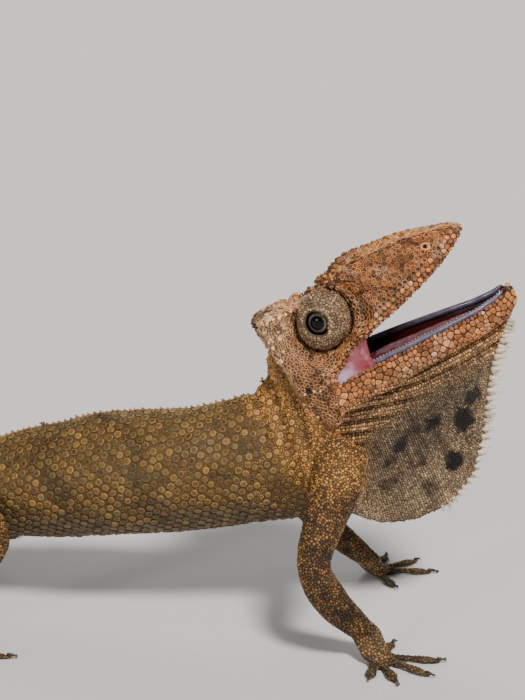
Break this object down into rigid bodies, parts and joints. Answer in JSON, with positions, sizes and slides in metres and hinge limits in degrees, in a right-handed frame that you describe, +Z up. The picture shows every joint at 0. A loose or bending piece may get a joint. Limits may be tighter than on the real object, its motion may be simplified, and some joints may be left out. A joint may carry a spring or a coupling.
{
  "type": "bearded anole",
  "caption": "Large-headed tree lizard on four feet with domed eyelids, raised snout, open mouth, fringed throat fan and a tail laid in a curve.",
  "frame": {"origin": "on the floor, under the middle of the animal's box", "axes": "+X along the body towards the snout, +Y to the animal's left, +Z up from the floor"},
  "size_m": [0.2674, 0.0996, 0.0966],
  "materials": {
    "head_skin": "matt scales, orange-brown with paler rims",
    "eyelid_skin": "matt fine granules",
    "body_skin": "matt round scales, olive brown",
    "limb_skin": "matt fine granules, mottled brown",
    "dewlap_skin": "soft matt skin, greyish beige with dark spots",
    "mouth_skin": "wet, pink to dark red",
    "eye": "wet, black"
  },
  "bodies": {
    "root": {"head": "head_skin", "jaw": "head_skin", "tongue": "mouth_skin", "mouth_lining": "mouth_skin", "eyelid_right": "eyelid_skin", "eyelid_left": "eyelid_skin", "eye_right": "eye", "eye_left": "eye", "dewlap": "dewlap_skin", "neck": "body_skin", "torso": "body_skin", "tail_base": "body_skin", "tail_middle": "body_skin", "tail_end": "body_skin", "upper_arm_right": "limb_skin", "forearm_right": "limb_skin", "hand_right": "limb_skin", "upper_arm_left": "limb_skin", "forearm_left": "limb_skin", "hand_left": "limb_skin", "thigh_right": "limb_skin", "shank_right": "limb_skin", "foot_right": "limb_skin", "thigh_left": "limb_skin", "shank_left": "limb_skin", "foot_left": "limb_skin"}
  },
  "joints": []
}
